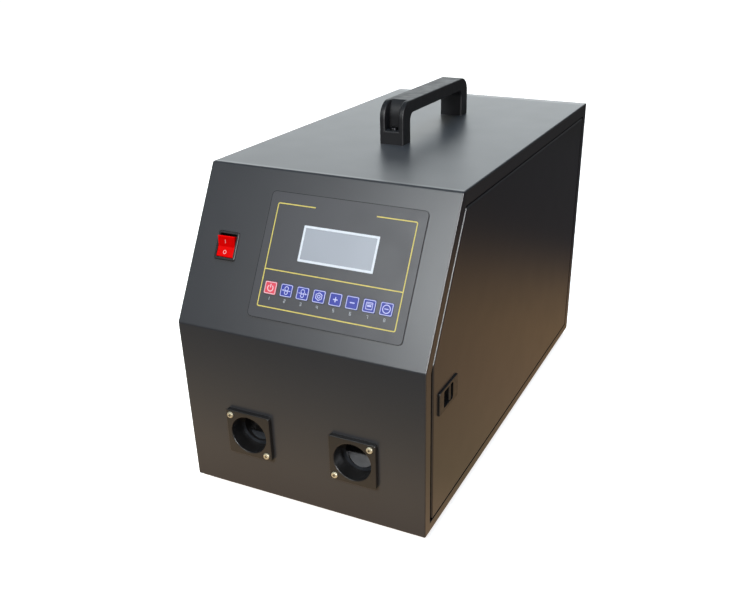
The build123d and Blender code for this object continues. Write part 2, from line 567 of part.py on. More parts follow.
og = bx(PX1, 64.5, 32, 46, 62, 79) + cy(5.0, 27.0, 60, WIRE_X, WIRE_Z)
og += Pos(WIRE_X, 60, WIRE_Z) * Rot(-90, 0, 0) * Pos(0, 0, 13) * Cone(5.0, 2.2, 26)
og -= cy(1.0, 20, 90, WIRE_X, WIRE_Z)
nodes["outlet_guide"] = og
ig = bx(PX1, 64.5, 177, 190, 62, 75.8) + cy(5.0, 172, 214, WIRE_X, WIRE_Z)
ig += Pos(WIRE_X, 172, WIRE_Z) * Rot(90, 0, 0) * Pos(0, 0, 8) * Cone(5.0, 2.2, 16)
ig -= cy(1.0, 150, 220, WIRE_X, WIRE_Z)
nodes["inlet_guide"] = ig

gm = cx(31, -88, -18, PIN_Y, PIN_Z + 1) + cx(27, -18, X_DIV - DX, PIN_Y, PIN_Z + 1)
gm += cx(15, X_DIV - DX, 22, PIN_Y, PIN_Z + 1)
gm -= cx(4.05, 2, 24, PIN_Y, PIN_Z)
gm += bx(-80, -74, PIN_Y - 6, PIN_Y + 6, PIN_Z + 28, PIN_Z + 38)
nodes["gearmotor"] = gm
for name in ("drive_plate", "drive_pins", "motor_pinion", "feed_roll_front", "feed_roll_rear", "roll_cap_front",
             "roll_cap_rear", "pressure_arm", "idler_roll_front", "idler_roll_rear", "tension_rod", "tension_spring",
             "tension_knob", "outlet_guide", "inlet_guide", "gearmotor"):
    nodes[name] = Pos(DX, 0, DZ) * nodes[name]

# ------------------------------------------------------------------
# Spool hub, spool and wire
# ------------------------------------------------------------------
XD1 = X_DIV + T_DIV
axle = cx(34, XD1, XD1 + 4, SPOOL_Y, SPOOL_Z) + cx(10.0, XD1, 129, SPOOL_Y, SPOOL_Z)
nodes["spool_axle"] = axle
hub = cx(40, 19.0, 22.0, SPOOL_Y, SPOOL_Z) + cx(24.8, 19.0, 125, SPOOL_Y, SPOOL_Z)
hub += cx(4.5, 22.0, 40.0, SPOOL_Y, SPOOL_Z + 34)
hub -= cx(10.05, 18, 128, SPOOL_Y, SPOOL_Z)
nodes["spool_hub"] = hub


def ring_x(r0, r1, x0, x1):
    return cx(r1, x0, x1, SPOOL_Y, SPOOL_Z) - cx(r0, x0 - 1, x1 + 1, SPOOL_Y, SPOOL_Z)


spool = ring_x(25.4, 150, 22, 26) + ring_x(25.4, 150, 118, 122)
spool += ring_x(92, 95, 26, 118) + ring_x(25.4, 29, 26, 118)
win_r = None
for k in range(6):
    a = math.radians(60 * k + 30)
    c = cx(17, 117, 123, SPOOL_Y + 62 * math.cos(a), SPOOL_Z + 62 * math.sin(a))
    spool -= c
for a0 in (90,):
    a = math.radians(a0)
    spool -= cx(5.2, 20, 27, SPOOL_Y + 34 * math.cos(a), SPOOL_Z + 34 * math.sin(a))
nodes["wire_spool"] = spool
coil = ring_x(95, 125, 26, 118)
coil = fillet(coil.edges().filter_by(GeomType.CIRCLE).sort_by(lambda e: -e.radius)[0:2], 4)
nodes["wire_coil"] = coil
nut = cx(30, 122.4, 127, SPOOL_Y, SPOOL_Z) + cx(20, 127, 133.5, SPOOL_Y, SPOOL_Z)
nut += bx(127, 133.5, SPOOL_Y - 36, SPOOL_Y + 36, SPOOL_Z - 6, SPOOL_Z + 6)
nut -= cx(24.9, 120, 125, SPOOL_Y, SPOOL_Z)
nut -= cx(10.6, 120, 131, SPOOL_Y, SPOOL_Z)
nodes["hub_nut"] = nut

# ------------------------------------------------------------------
# Electronics side
# ------------------------------------------------------------------
psu = bx(-128, -30, 280, 480, T, T + 42)
for i in range(12):
    yy = 300 + i * 14
    psu -= bx(-112, -46, yy, yy + 5, T + 41, T + 43)
psu += bx(-124, -34, 268, 280, T, T + 16)
nodes["power_supply"] = psu

pcb = bx(2.4, 4.0, 190, 350, 150, 270)
for py, pz in ((196, 156), (344, 156), (196, 264), (344, 264)):
    pcb += cx(3, 4.0, X_DIV, py, pz)
pcb += bx(-14, 2.4, 205, 235, 165, 185) + bx(-14, 2.4, 245, 275, 165, 185)
pcb += bx(-8, 2.4, 290, 330, 160, 172) + bx(-2, 2.4, 220, 250, 215, 245)
pcb += cx(8, -26, 2.4, 300, 240) + cx(8, -26, 2.4, 322, 240)
nodes["control_board"] = pcb

fy0, fy1 = D - T - 25, D - T
fan = bx(FAN_X - 40, FAN_X + 40, fy0, fy1, FAN_Z - 40, FAN_Z + 40)
fan = fillet(fan.edges().filter_by(Axis.Y), 4)
fan -= cy(38, fy0 - 1, fy1 + 1, FAN_X, FAN_Z)
for dx, dz in [(-35.75, -35.75), (35.75, -35.75), (-35.75, 35.75), (35.75, 35.75)]:
    fan -= cy(2.1, fy0 - 1, fy1 + 1, FAN_X + dx, FAN_Z + dz)
for k in range(3):
    a = math.radians(120 * k + 90)
    fan += Pos(FAN_X, fy0 + 1.5, FAN_Z) * Rot(0, -math.degrees(a), 0) * Pos(26, 0, 0) * Box(26, 3, 4)
fan += cy(14, fy0, fy0 + 3, FAN_X, FAN_Z)
fan += cy(2.0, fy0 + 3, fy0 + 18, FAN_X, FAN_Z)
nodes["fan_frame"] = fan
rot = cy(16, fy0 + 3.6, fy0 + 21, FAN_X, FAN_Z)
for k in range(7):
    b = Pos(24.5, 0, 0) * Rot(38, 0, 0) * Box(23, 17, 1.3)
    rot += Pos(FAN_X, fy0 + 12.6, FAN_Z) * Rot(0, 360.0 / 7 * k, 0) * b
rot -= cy(2.06, fy0 + 2, fy0 + 18.6, FAN_X, FAN_Z)
nodes["fan_rotor"] = rot

inlet = bx(IN_X - 25, IN_X + 25, D, D + 3, IN_Z - 14, IN_Z + 14)
inlet = fillet(inlet.edges().filter_by(Axis.Y), 4)
inlet += bx(IN_X - 13.6, IN_X + 13.6, D - 24, D, IN_Z - 9.8, IN_Z + 9.8)
inlet -= bx(IN_X - 12, IN_X + 12, D - 16, D + 4, IN_Z - 8.2, IN_Z + 8.2)
for dx, dz in ((-7, -1), (7, -1), (0, 3.2)):
    inlet += bx(IN_X + dx - 1, IN_X + dx + 1, D - 18, D - 3, IN_Z + dz - 2, IN_Z + dz + 2)
for dx in (-20, 20):
    inlet -= cy(1.75, D - 1, D + 4, IN_X + dx, IN_Z)
nodes["power_inlet"] = inlet

cs = cy(11, D, D + 2.5, CS_X, CS_Z) + cy(8.0, D - 12, D + 11, CS_X, CS_Z)
cs -= cy(6.5, D + 2, D + 12, CS_X, CS_Z)
for k in range(5):
    a = math.radians(72 * k + 18)
    cs += cy(0.75, D, D + 7, CS_X + 4.4 * math.cos(a), CS_Z + 4.4 * math.sin(a))
cs += cy(10.6, D - T - 3, D - T, CS_X, CS_Z) - cy(7.5, D - T - 4, D, CS_X, CS_Z)
nodes["control_socket"] = cs

# ------------------------------------------------------------------
# Put the frame's origin under the middle of the whole object and write
# ------------------------------------------------------------------
lo = [min(getattr(p.bounding_box().min, a) for p in nodes.values()) for a in "XYZ"]
hi = [max(getattr(p.bounding_box().max, a) for p in nodes.values()) for a in "XYZ"]
shift = (-(lo[0] + hi[0]) / 2, -(lo[1] + hi[1]) / 2, -lo[2])
print("nodes", len(nodes), "size", [round(h - l, 3) for h, l in zip(hi, lo)], "shift", [round(s, 4) for s in shift])
print("pinion", round(PIN_Y, 4), round(PIN_Z, 4), "roll z", ROLL_Z, "idle z", IDLE_Z)
for name, p in nodes.items():
    export_step(Pos(*shift) * p, f"parts/{name}.step")
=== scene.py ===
import json
import math

import bmesh
import bpy
from mathutils import Matrix, Vector


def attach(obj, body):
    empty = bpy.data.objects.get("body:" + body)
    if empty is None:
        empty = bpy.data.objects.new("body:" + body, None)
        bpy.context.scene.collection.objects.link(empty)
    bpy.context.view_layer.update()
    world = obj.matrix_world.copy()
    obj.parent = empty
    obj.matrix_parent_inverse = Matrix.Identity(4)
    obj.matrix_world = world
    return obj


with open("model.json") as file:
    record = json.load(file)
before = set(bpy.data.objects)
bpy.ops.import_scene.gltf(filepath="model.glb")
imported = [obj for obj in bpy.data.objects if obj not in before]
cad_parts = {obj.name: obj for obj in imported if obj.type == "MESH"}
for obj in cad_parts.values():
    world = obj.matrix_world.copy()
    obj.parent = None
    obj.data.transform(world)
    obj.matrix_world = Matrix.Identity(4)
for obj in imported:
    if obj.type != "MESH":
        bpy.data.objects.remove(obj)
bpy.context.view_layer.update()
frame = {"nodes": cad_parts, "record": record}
NODES = frame["nodes"]
SC = bpy.context.scene
COL = SC.collection

# ---------------------------------------------------------------- frame
# Cabinet frame in millimetres (x 0 centre, y 0 lower front face, z 0 under
# the base sheet) to the row frame in metres.
SHIFT = Vector((0.2, -275.0, 8.0))
W, D, H, ZB, YS = 280.0, 546.0, 338.0, 190.0, 86.5
SLEN = math.hypot(YS, H - ZB)
UY, UZ = YS / SLEN, (H - ZB) / SLEN
M_CAB = Matrix.Translation(SHIFT * 0.001) @ Matrix.Scale(0.001, 4)
M_SLOPE = M_CAB @ Matrix(((1, 0, 0, 0), (0, UY, -UZ, 0), (0, UZ, UY, ZB), (0, 0, 0, 1)))
# front plane: local x right, local y up, local z outwards (towards -Y)
M_FRONT = M_CAB @ Matrix(((1, 0, 0, 0), (0, 0, -1, 0), (0, 1, 0, 0), (0, 0, 0, 1)))
# right side: local x back (+Y), local y up, local z outwards (+X)
M_RIGHT = M_CAB @ Matrix(((0, 0, 1, W / 2), (1, 0, 0, 0), (0, 1, 0, 0), (0, 0, 0, 1)))


def P(x, y, z):
    return (Vector((x, y, z)) + SHIFT) * 0.001


# ---------------------------------------------------------------- camera
YAW, PITCH, ROLL = math.radians(24.322), math.radians(26.954), math.radians(-0.126)
cam_data = bpy.data.cameras.new("photo_camera")
cam = bpy.data.objects.new("photo_camera", cam_data)
COL.objects.link(cam)
back = Vector((math.sin(YAW) * math.cos(PITCH), -math.cos(YAW) * math.cos(PITCH), math.sin(PITCH)))
right = Vector((math.cos(YAW), math.sin(YAW), 0))
up = back.cross(right)
right, up = (right * math.cos(ROLL) + up * math.sin(ROLL), up * math.cos(ROLL) - right * math.sin(ROLL))
m = Matrix((right, up, back)).transposed().to_4x4()
m.translation = P(407.7, -620.3, 560.6)
cam.matrix_world = m
cam_data.sensor_width = 36.0
cam_data.lens = 843.44 * 36.0 / 750.0
cam_data.shift_x = (375.0 - 413.28) / 750.0
cam_data.shift_y = (348.57 - 307.0) / 750.0
cam_data.clip_start, cam_data.clip_end = 0.02, 60
SC.camera = cam
SC.view_settings.view_transform = "Standard"


# ---------------------------------------------------------------- materials
def lin(c):
    out = []
    for v in c:
        v = v / 255.0
        out.append(v / 12.92 if v <= 0.04045 else ((v + 0.055) / 1.055) ** 2.4)
    return (*out, 1.0)


def material(name, base, rough=0.5, metallic=0.0, vary=0.08, vary_scale=14.0, rough_vary=0.05, bump=0.15,
             bump_size=0.0008, bump_depth=0.00004, coat=0.0, coat_rough=0.1, specular=0.5, ior=1.5, stretch=None,
             second=None, second_scale=60.0, second_amount=0.0, alpha=1.0, transmission=0.0, emission=None,
             sheen=0.0, dust=0.0):
    """A procedural surface: base colour broken up by large soft variation, a second finer
    one, roughness variation and a fine relief, all in the object's own space."""
    mt = bpy.data.materials.new(name)
    mt.use_nodes = True
    nt = mt.node_tree
    bs = nt.nodes["Principled BSDF"]
    L = nt.links.new
    tc = nt.nodes.new("ShaderNodeTexCoord")
    mp = nt.nodes.new("ShaderNodeMapping")
    L(tc.outputs["Object"], mp.inputs["Vector"])
    if stretch:
        mp.inputs["Scale"].default_value = stretch
    # colour
    n1 = nt.nodes.new("ShaderNodeTexNoise")
    n1.inputs["Scale"].default_value = vary_scale
    n1.inputs["Detail"].default_value = 1.5
    L(mp.outputs["Vector"], n1.inputs["Vector"])
    ramp = nt.nodes.new("ShaderNodeValToRGB")
    lo = [max(0.0, c * (1 - 2.0 * vary)) for c in base[:3]] + [1]
    hi = [min(1.0, c * (1 + 2.0 * vary)) for c in base[:3]] + [1]
    ramp.color_ramp.elements[0].position = 0.1
    ramp.color_ramp.elements[0].color = lo
    ramp.color_ramp.elements[1].position = 0.9
    ramp.color_ramp.elements[1].color = hi
    L(n1.outputs["Fac"], ramp.inputs["Fac"])
    col = ramp.outputs["Color"]
    if second is not None and second_amount > 0:
        n2 = nt.nodes.new("ShaderNodeTexNoise")
        n2.inputs["Scale"].default_value = second_scale
        n2.inputs["Detail"].default_value = 8.0
        L(mp.outputs["Vector"], n2.inputs["Vector"])
        mr = nt.nodes.new("ShaderNodeMapRange")
        mr.inputs["From Min"].default_value = 0.5
        mr.inputs["From Max"].default_value = 0.75
        mr.inputs["To Max"].default_value = second_amount
        L(n2.outputs["Fac"], mr.inputs["Value"])
        mx = nt.nodes.new("ShaderNodeMix")
        mx.data_type = "RGBA"
        L(mr.outputs["Result"], mx.inputs["Factor"])
        L(col, mx.inputs["A"])
        mx.inputs["B"].default_value = second
        col = mx.outputs["Result"]
    L(col, bs.inputs["Base Color"])
    # roughness
    n3 = nt.nodes.new("ShaderNodeTexNoise")
    n3.inputs["Scale"].default_value = vary_scale * 3.3
    n3.inputs["Detail"].default_value = 1.0
    L(mp.outputs["Vector"], n3.inputs["Vector"])
    rr = nt.nodes.new("ShaderNodeMapRange")
    rr.inputs["To Min"].default_value = max(0.02, rough - 2.0 * rough_vary)
    rr.inputs["To Max"].default_value = min(1.0, rough + 2.0 * rough_vary)
    rr.inputs["From Min"].default_value = 0.1
    rr.inputs["From Max"].default_value = 0.9
    L(n3.outputs["Fac"], rr.inputs["Value"])
    L(rr.outputs["Result"], bs.inputs["Roughness"])
    # relief
    if bump > 0:
        n4 = nt.nodes.new("ShaderNodeTexNoise")
        n4.inputs["Scale"].default_value = 1.0 / bump_size
        n4.inputs["Detail"].default_value = 3.0
        L(mp.outputs["Vector"], n4.inputs["Vector"])
        bp = nt.nodes.new("ShaderNodeBump")
        bp.inputs["Strength"].default_value = bump
        bp.inputs["Distance"].default_value = bump_depth
        L(n4.outputs["Fac"], bp.inputs["Height"])
        L(bp.outputs["Normal"], bs.inputs["Normal"])
    bs.inputs["Metallic"].default_value = metallic
    bs.inputs["IOR"].default_value = ior
    bs.inputs["Specular IOR Level"].default_value = specular
    bs.inputs["Coat Weight"].default_value = coat
    bs.inputs["Coat Roughness"].default_value = coat_rough
    if sheen > 0:
        bs.inputs["Sheen Weight"].default_value = sheen
    if alpha < 1:
        bs.inputs["Alpha"].default_value = alpha
    if transmission > 0:
        bs.inputs["Transmission Weight"].default_value = transmission
    if emission:
        bs.inputs["Emission Color"].default_value = emission[0]
        bs.inputs["Emission Strength"].default_value = emission[1]
    return mt


def brushed(name, base, axis, rough=0.3, metallic=1.0, vary=0.1):
    """Metal with fine lines along one axis."""
    st = [1.0, 1.0, 1.0]
    st["xyz".index(axis)] = 0.02
    return material(name, base, rough=rough, metallic=metallic, vary=vary, vary_scale=220.0, rough_vary=0.08, bump=0.25,
                    bump_size=0.0006, bump_depth=0.00003, stretch=st)


M = {}
M["powder"] = material("powder_black", (0.042, 0.043, 0.047, 1), rough=0.3, vary=0.03, vary_scale=9.0, rough_vary=0.01,
                       bump=0.0, specular=0.5)
M["powder_top"] = material("powder_black_top", (0.042, 0.043, 0.047, 1), rough=0.37, vary=0.03, vary_scale=9.0,
                           rough_vary=0.006, bump=0.06, bump_size=0.0012, bump_depth=0.00005, specular=0.5)
# light and dim copies of one plate colour: painted reflections of light inside the sockets
M["contact_light"] = material("contact_plate", lin((120, 122, 126)), rough=0.36, metallic=0.5, vary=0.1, vary_scale=90.0,
                              rough_vary=0.06, bump=0.1, bump_size=0.001, bump_depth=0.00003)
M["contact_dark"] = material("contact_plate_dark", lin((52, 56, 62)), rough=0.4, metallic=0.3, vary=0.1, vary_scale=90.0,
                             rough_vary=0.06, bump=0.1, bump_size=0.001, bump_depth=0.00003)
# painted shade: dark colour for the shadow inside the port screws' cross recesses
M["recess"] = material("screw_recess", lin((52, 46, 34)), rough=0.6, metallic=0.2, vary=0.1, vary_scale=200.0,
                       rough_vary=0.05, bump=0.1, bump_size=0.0006, bump_depth=0.00003)
M["handle"] = material("handle_black", lin((35, 35, 37)), rough=0.46, vary=0.1, vary_scale=30.0, rough_vary=0.05,
                       bump=0.5, bump_size=0.0006, bump_depth=0.00006, specular=0.28)
M["socket"] = material("socket_black", lin((30, 29, 29)), rough=0.36, vary=0.08, vary_scale=40.0, rough_vary=0.04,
                       bump=0.08, bump_size=0.002, bump_depth=0.00003)
M["switch"] = material("switch_black", lin((20, 20, 22)), rough=0.35, vary=0.08, vary_scale=50.0, rough_vary=0.05,
                       bump=0.3, bump_size=0.0005, bump_depth=0.00004)
M["red"] = material("rocker_red", lin((240, 0, 0)), rough=0.42, vary=0.03, vary_scale=60.0, rough_vary=0.04,
                    bump=0.04, bump_size=0.003, bump_depth=0.00003, specular=0.05)
M["overlay"] = material("overlay_film", lin((61, 61, 65)), rough=0.4, vary=0.03, vary_scale=18.0, rough_vary=0.03,
                        bump=0.12, bump_size=0.0004, bump_depth=0.00003, specular=0.5)
# painted shadow: dark colour for the shade along the overlay film's rim
M["overlay_edge"] = material("overlay_cut_edge", lin((26, 26, 28)), rough=0.6, vary=0.05, vary_scale=60.0,
                             rough_vary=0.03, bump=0.2, bump_size=0.0004, bump_depth=0.00002, specular=0.3)
M["yellow"] = material("print_yellow", lin((226, 205, 96)), rough=0.5, vary=0.07, vary_scale=160.0, rough_vary=0.04,
                       bump=0.2, bump_size=0.0004, bump_depth=0.00002)
M["white"] = material("print_white", lin((232, 234, 238)), rough=0.5, vary=0.03, vary_scale=160.0, rough_vary=0.04,
                      bump=0.2, bump_size=0.0004, bump_depth=0.00002)
M["lilac"] = material("print_lilac", lin((205, 205, 245)), rough=0.5, vary=0.04, vary_scale=160.0, rough_vary=0.04,
                      bump=0.2, bump_size=0.0004, bump_depth=0.00002)
M["rocker_print"] = material("print_rocker", lin((255, 172, 168)), rough=0.45, vary=0.04, vary_scale=160.0,
                             rough_vary=0.04, bump=0.1, bump_size=0.0004, bump_depth=0.00002)
M["pink"] = material("print_pink", lin((255, 205, 212)), rough=0.5, vary=0.04, vary_scale=160.0, rough_vary=0.04,
                     bump=0.2, bump_size=0.0004, bump_depth=0.00002)
M["label"] = material("print_label", lin((190, 192, 196)), rough=0.55, vary=0.05, vary_scale=160.0, rough_vary=0.04,
                      bump=0.2, bump_size=0.0004, bump_depth=0.00002)
M["lcd"] = material("display_glass", lin((168, 171, 178)), rough=0.22, vary=0.03, vary_scale=12.0, rough_vary=0.03,
                    bump=0.05, bump_size=0.004, bump_depth=0.00002, coat=0.25, coat_rough=0.1)
M["key_blue"] = material("key_blue", lin((32, 48, 160)), rough=0.45, vary=0.08, vary_scale=120.0, rough_vary=0.04,
                         bump=0.3, bump_size=0.0004, bump_depth=0.00003)
M["key_red"] = material("key_red", lin((236, 62, 84)), rough=0.42, vary=0.06, vary_scale=120.0, rough_vary=0.04,
                        bump=0.3, bump_size=0.0004, bump_depth=0.00003)
M["zinc_yellow"] = material("screw_yellow_zinc", lin((216, 206, 176)), rough=0.38, metallic=0.45, vary=0.12,
                            vary_scale=400.0, rough_vary=0.08, bump=0.2, bump_size=0.0006, bump_depth=0.00003,
                            second=lin((250, 240, 215)), second_scale=500.0, second_amount=0.5)
M["black_screw"] = material("screw_black", lin((44, 44, 46)), rough=0.35, metallic=0.9, vary=0.15, vary_scale=300.0,
                            rough_vary=0.08, bump=0.25, bump_size=0.0006, bump_depth=0.00004)
M["rubber"] = material("rubber_black", lin((30, 30, 31)), rough=0.75, vary=0.12, vary_scale=60.0, rough_vary=0.08,
                       bump=0.5, bump_size=0.0009, bump_depth=0.00008, second=lin((62, 60, 58)), second_scale=240.0,
                       second_amount=0.25)
M["zinc"] = material("zinc_sheet", lin((178, 181, 184)), rough=0.42, metallic=0.9, vary=0.07, vary_scale=40.0,
                     rough_vary=0.06, bump=0.05, bump_size=0.003, bump_depth=0.00003, second=lin((196, 199, 203)),
                     second_scale=90.0, second_amount=0.35)
M["steel"] = brushed("steel_ground", lin((178, 178, 182)), "x", rough=0.3)
M["aluminium"] = brushed("aluminium_milled", lin((206, 208, 211)), "y", rough=0.34)
M["brass"] = brushed("brass_turned", lin((212, 170, 92)), "y", rough=0.26)
M["enamel"] = material("enamel_black", lin((34, 35, 38)), rough=0.34, vary=0.08, vary_scale=30.0, rough_vary=0.06,
                       bump=0.3, bump_size=0.0012, bump_depth=0.00006)
M["board"] = material("board_green", lin((18, 92, 56)), rough=0.35, vary=0.25, vary_scale=90.0, rough_vary=0.08,
                      bump=0.3, bump_size=0.0015, bump_depth=0.00008, second=lin((150, 140, 80)), second_scale=420.0,
                      second_amount=0.5)
M["nylon"] = material("nylon_black", lin((40, 41, 44)), rough=0.45, vary=0.1, vary_scale=50.0, rough_vary=0.06,
                      bump=0.4, bump_size=0.0008, bump_depth=0.00006)
M["spool"] = material("spool_black", lin((34, 35, 38)), rough=0.4, vary=0.05, vary_scale=24.0, rough_vary=0.02,
                      bump=0.3, bump_size=0.0014, bump_depth=0.00008)
M["nut"] = material("nylon_red", lin((170, 30, 26)), rough=0.38, vary=0.1, vary_scale=50.0, rough_vary=0.06,
                    bump=0.3, bump_size=0.0008, bump_depth=0.00006)
M["latch"] = material("latch_black", lin((30, 30, 32)), rough=0.4, vary=0.1, vary_scale=60.0, rough_vary=0.05,
                      bump=0.4, bump_size=0.0007, bump_depth=0.00006)

SLOT_MAT = {
    "powder": "powder", "handle_plastic": "handle", "socket_plastic": "socket", "switch_plastic": "switch",
    "rocker_red": "red", "overlay_film": "overlay", "lcd_glass": "lcd", "key_blue": "key_blue", "key_red": "key_red",
    "zinc_yellow": "zinc_yellow", "black_screw": "black_screw", "rubber_black": "rubber", "zinc_plate": "zinc",
    "steel": "steel", "aluminium": "aluminium", "brass": "brass", "motor_black": "enamel", "board_green": "board",
    "hub_plastic": "nylon", "spool_plastic": "spool", "wire_metal": "zinc_yellow", "nut_plastic": "nut",
    "latch_plastic": "latch",
}


def wire_material():
    """Wound wire: turns side by side round the spool's x axis."""
    mt = material("wound_wire", lin((196, 150, 104)), rough=0.28, metallic=1.0, vary=0.12, vary_scale=120.0,
                  rough_vary=0.06, bump=0.0)
    nt = mt.node_tree
    bs = nt.nodes["Principled BSDF"]
    tc = nt.nodes.new("ShaderNodeTexCoord")
    sep = nt.nodes.new("ShaderNodeSeparateXYZ")
    nt.links.new(tc.outputs["Object"], sep.inputs["Vector"])
    mul = nt.nodes.new("ShaderNodeMath")
    mul.operation = "MULTIPLY"
    mul.inputs[1].default_value = 2 * math.pi / 0.0012
    nt.links.new(sep.outputs["X"], mul.inputs[0])
    sn = nt.nodes.new("ShaderNodeMath")
    sn.operation = "SINE"
    nt.links.new(mul.outputs[0], sn.inputs[0])
    bp = nt.nodes.new("ShaderNodeBump")
    bp.inputs["Strength"].default_value = 0.3
    bp.inputs["Distance"].default_value = 0.0002
    nt.links.new(sn.outputs[0], bp.inputs["Height"])
    nt.links.new(bp.outputs["Normal"], bs.inputs["Normal"])
    return mt


M["wire"] = wire_material()

node_slot = {s["node"]: s["material_slot"] for s in frame["record"]["subparts"]}
for n, o in NODES.items():
    mt = M[SLOT_MAT[node_slot[n]]]
    if n == "wire_coil":
        mt = M["wire"]
    if n == "top_cover":
        mt = M["powder_top"]
    o.data.materials.clear()
    o.data.materials.append(mt)


# ---------------------------------------------------------------- mesh helpers
def add_mesh(name, verts, faces, mat, body, matrix=M_CAB, smooth=False):
    me = bpy.data.meshes.new(name)
    me.from_pydata([matrix @ Vector(v) for v in verts], [], faces)
    me.validate()
    bm = bmesh.new()
    bm.from_mesh(me)
    bmesh.ops.remove_doubles(bm, verts=bm.verts, dist=1e-7)
    bmesh.ops.recalc_face_normals(bm, faces=bm.faces)
    bm.to_mesh(me)
    bm.free()
    if smooth:
        for p in me.polygons:
            p.use_smooth = True
    o = bpy.data.objects.new(name, me)
    COL.objects.link(o)
    me.materials.append(mat)
    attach(o, body)
    return o


def circle(cx, cy, r, n=40):
    return [(cx + r * math.cos(2 * math.pi * i / n), cy + r * math.sin(2 * math.pi * i / n)) for i in range(n)]


def rrect(x0, x1, y0, y1, r, n=6):
    pts = []
    for cx, cy, a0 in ((x1 - r, y1 - r, 0), (x0 + r, y1 - r, 90), (x0 + r, y0 + r, 180), (x1 - r, y0 + r, 270)):
        for i in range(n + 1):
            a = math.radians(a0 + 90.0 * i / n)
            pts.append((cx + r * math.cos(a), cy + r * math.sin(a)))
    return pts


def stroke(x0, y0, x1, y1, w, n=5):
    """A straight line with round ends."""
    a = math.atan2(y1 - y0, x1 - x0)
    pts = []
    for i in range(n + 1):
        t = a - math.pi / 2 + math.pi * i / n
        pts.append((x1 + w / 2 * math.cos(t), y1 + w / 2 * math.sin(t)))
    for i in range(n + 1):
        t = a + math.pi / 2 + math.pi * i / n
        pts.append((x0 + w / 2 * math.cos(t), y0 + w / 2 * math.sin(t)))
    return pts


def arc_band(cx, cy, r, w, a0, a1, n=24):
    """An open arc of line width w."""
    pts = []
    for i in range(n + 1):
        t = math.radians(a0 + (a1 - a0) * i / n)
        pts.append((cx + (r + w / 2) * math.cos(t), cy + (r + w / 2) * math.sin(t)))
    for i in range(n, -1, -1):
        t = math.radians(a0 + (a1 - a0) * i / n)
        pts.append((cx + (r - w / 2) * math.cos(t), cy + (r - w / 2) * math.sin(t)))
    return pts


def ring(cx, cy, r, w, n=40):
    return [circle(cx, cy, r + w / 2, n), circle(cx, cy, r - w / 2, n)]


def decal(name, groups, z0, z1, mat, body, matrix=M_SLOPE):
    """Thin raised print, or a thin raised sheet of painted shade. Each group is one outline, or an outline and its
    holes.
    """
    bm = bmesh.new()
    for loops in groups:
        cu = bpy.data.curves.new("tmp", "CURVE")
        cu.dimensions = "2D"
        cu.fill_mode = "BOTH"
        cu.extrude = (z1 - z0) / 2
        for loop in loops:
            sp = cu.splines.new("POLY")
            sp.points.add(len(loop) - 1)
            for p, q in zip(sp.points, loop):
                p.co = (q[0], q[1], 0, 1)
            sp.use_cyclic_u = True
        ob = bpy.data.objects.new("tmp", cu)
        COL.objects.link(ob)
        bpy.context.view_layer.update()
        me = bpy.data.meshes.new_from_object(ob.evaluated_get(bpy.context.evaluated_depsgraph_get()))
        bm.from_mesh(me)
        bpy.data.objects.remove(ob)
        bpy.data.meshes.remove(me)
        bpy.data.curves.remove(cu)
    bmesh.ops.remove_doubles(bm, verts=bm.verts, dist=1e-5)
    me = bpy.data.meshes.new(name)
    bm.to_mesh(me)
    bm.free()
    mid = (z0 + z1) / 2
    me.transform(matrix @ Matrix.Translation((0, 0, mid)))
    me.update()
    bm = bmesh.new()
    bm.from_mesh(me)
    bmesh.ops.recalc_face_normals(bm, faces=bm.faces)
    bm.to_mesh(me)
    bm.free()
    me.materials.append(mat)
    o = bpy.data.objects.new(name, me)
    COL.objects.link(o)
    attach(o, body)
    return o


# ---------------------------------------------------------------- printed panel
OV = 0.8
FX0, FX1, FS0, FS1, FDIV = -50.4, 101.3, 33.0, 137.5, 70.6
LW = 1.1


def frame_band(x0, x1, y0, y1, r, w, gap=None, n=8):
    """A rounded rectangular line, closed, or open along its top between gap's two x."""
    outer = rrect(x0 - w / 2, x1 + w / 2, y0 - w / 2, y1 + w / 2, r + w / 2, n)
    inner = rrect(x0 + w / 2, x1 - w / 2, y0 + w / 2, y1 - w / 2, max(0.05, r - w / 2), n)
    if gap is None:
        return [[outer, inner]]
    half = n + 1
    # corners in order: top right, top left, bottom left, bottom right
    path_out = outer[half:] + outer[:half]
    path_in = inner[half:] + inner[:half]
    pts = [(gap[0], y1 + w / 2)] + path_out + [(gap[1], y1 + w / 2), (gap[1], y1 - w / 2)]
    pts += list(reversed(path_in)) + [(gap[0], y1 - w / 2)]
    return [[pts]]


groups = frame_band(FX0, FX1, FS0, FS1, 1.6, LW, gap=(-8.2, 58.7))
groups.append([[(FX0 + LW / 2, FDIV - LW / 2), (FX1 - LW / 2, FDIV - LW / 2), (FX1 - LW / 2, FDIV + LW / 2), (FX0 + LW / 2, FDIV + LW / 2)]])
# a thin dark ring round the overlay film: painted shadow along its rim
decal("print_overlay_edge", [[rrect(-60.0, 111.1, 21.0, 149.4, 5.0, 10), rrect(-59.5, 110.6, 21.5, 148.9, 4.5, 10)]],
      OV, OV + 0.05, M["overlay_edge"], "cabinet")
decal("print_frame_line", groups, OV, OV + 0.07, M["yellow"], "cabinet")
decal("print_display_border", [[rrect(-16.2, 66.6, 82.8, 119.0, 0.6, 3), rrect(-13.85, 64.25, 85.25, 116.65, 0.25, 3)]],
      OV, OV + 0.07, M["white"], "cabinet")

KEY_X = [-39.4, -21.0, -2.6, 15.7, 33.9, 52.1, 70.3, 88.4]
KEY_S, KEY_W, KEY_L, KEY_TOP = 52.4, 13.5, 12.8, 1.15
KEYS = ["key_power", "key_forward", "key_retract", "key_set", "key_plus", "key_minus", "key_display", "key_gas"]
Z0, Z1 = KEY_TOP, KEY_TOP + 0.07


